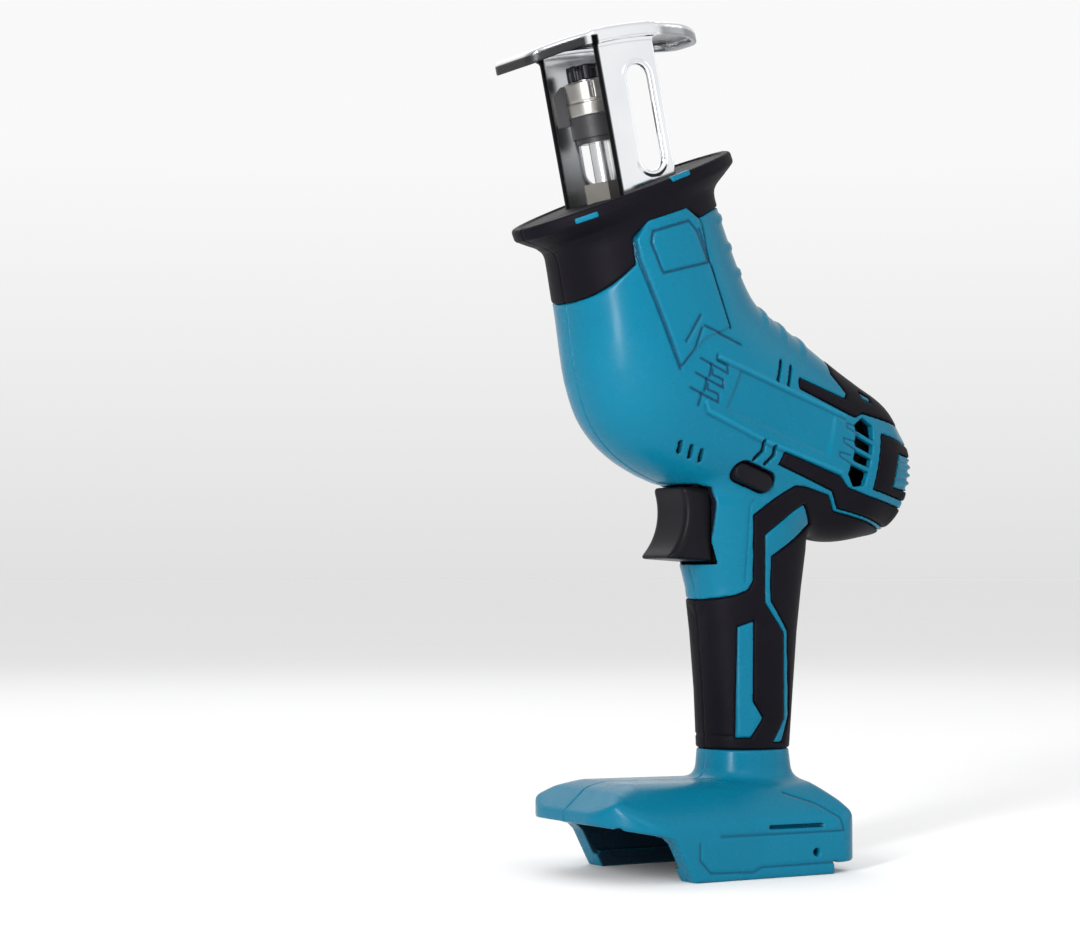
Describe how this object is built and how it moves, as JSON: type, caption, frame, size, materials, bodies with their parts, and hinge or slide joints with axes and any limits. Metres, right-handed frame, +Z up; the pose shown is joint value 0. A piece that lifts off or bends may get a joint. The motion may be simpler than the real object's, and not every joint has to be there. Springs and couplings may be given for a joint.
{
  "type": "reciprocating saw",
  "caption": "Cordless reciprocating saw with an upright grip, slide battery foot, rubber nose flange, bright arched shoe and twist-lock blade clamp.",
  "frame": {"origin": "under the middle of the saw, on the plane that the battery foot rests on", "axes": "+Z up, +X towards the motor's tail with the trigger facing -X, +Y to the saw's right-hand side"},
  "size_m": [0.1663, 0.074, 0.3097],
  "materials": {
    "housing_plastic": "satin moulded",
    "black_rubber": "soft overmould",
    "dark_steel": "black oxide",
    "shoe_chrome": "bright plated",
    "bronze": "satin",
    "felt": "felt",
    "sintered_steel": "matt grey",
    "bearing_steel": "ground",
    "cast_alloy": "die cast",
    "plated_steel": "zinc plated",
    "ferrite": "sintered",
    "black_plastic": "moulded",
    "carbon": "matt",
    "hard_steel": "ground",
    "plunger_steel": "polished",
    "collar_steel": "turned",
    "lamination": "varnished",
    "copper": "enamelled",
    "trigger_plastic": "fine grain"
  },
  "bodies": {
    "saw_body": {"housing_left": "housing_plastic", "housing_right": "housing_plastic", "nose_boot": "black_rubber", "boot_clips": "housing_plastic", "grip_left": "black_rubber", "grip_right": "black_rubber", "motor_strip_left": "black_rubber", "motor_strip_right": "black_rubber", "tail_bumper_left": "black_rubber", "tail_bumper_right": "black_rubber", "housing_screws": "dark_steel", "shoe": "shoe_chrome", "shoe_screws": "dark_steel", "plunger_bush": "bronze", "felt_seal": "felt", "gland_nut": "sintered_steel", "crank_bearing_inner": "bearing_steel", "crank_bearing_outer": "bearing_steel", "gear_case_left": "cast_alloy", "gear_case_right": "cast_alloy", "gear_case_screws": "dark_steel", "motor_can": "plated_steel", "motor_magnets": "ferrite", "motor_end_cap": "black_plastic", "motor_front_bearing": "bearing_steel", "motor_rear_bearing": "bearing_steel", "motor_brushes": "carbon", "brush_holders": "bronze", "switch_body": "black_plastic", "trigger_spring": "bearing_steel", "terminal_block": "black_plastic", "terminal_blades": "bronze"},
    "drive_crank": {"crank_gear": "hard_steel", "crank_axle": "hard_steel", "crank_pin": "hard_steel"},
    "blade_plunger": {"plunger": "plunger_steel", "yoke": "hard_steel", "clamp_body": "hard_steel", "clamp_pin": "hard_steel", "clamp_cap": "black_plastic"},
    "clamp_sleeve": {"clamp_collar": "collar_steel", "clamp_band": "black_plastic", "clamp_lever": "black_plastic"},
    "motor_rotor": {"motor_shaft": "hard_steel", "armature_stack": "lamination", "armature_windings": "copper", "commutator": "copper", "motor_fan": "black_plastic", "bevel_pinion": "hard_steel"},
    "trigger": {"trigger": "trigger_plastic", "trigger_stem": "black_plastic"},
    "lock_button": {"lock_button": "trigger_plastic"}
  },
  "joints": [
    {"name": "motor_spin", "type": "hinge", "parent": "saw_body", "child": "motor_rotor", "pos_m": [-0.0299, 0, 0.1916], "axis": [0.9397, 0, -0.342], "range_deg": [0, 900]},
    {"name": "crank_spin", "type": "hinge", "parent": "saw_body", "child": "drive_crank", "pos_m": [-0.0299, 0, 0.1916], "axis": [0, 1, 0], "range_deg": [-180, 0]},
    {"name": "plunger_slide", "type": "slide", "parent": "saw_body", "child": "blade_plunger", "axis": [0.2079, 0, -0.9781], "range_m": [0, 0.013]},
    {"name": "clamp_twist", "type": "hinge", "parent": "blade_plunger", "child": "clamp_sleeve", "pos_m": [-0.04757, 0, 0.27474], "axis": [-0.2079, 0, 0.9781], "range_deg": [0, 75], "stiffness_Nm_per_rad": 0.02},
    {"name": "trigger_pull", "type": "slide", "parent": "saw_body", "child": "trigger", "axis": [1, 0, 0], "range_m": [0, 0.007], "stiffness_N_per_m": 900, "deforming": ["trigger_spring"]},
    {"name": "lock_push", "type": "slide", "parent": "saw_body", "child": "lock_button", "axis": [0, 1, 0], "range_m": [0, 0.005], "stiffness_N_per_m": 400}
  ],
  "couplings": [
    {"joint": "crank_spin", "follows": "motor_spin", "ratio": -0.2},
    {"joint": "plunger_slide", "follows": "motor_spin", "m_per_rad": 0.00082761}
  ]
}
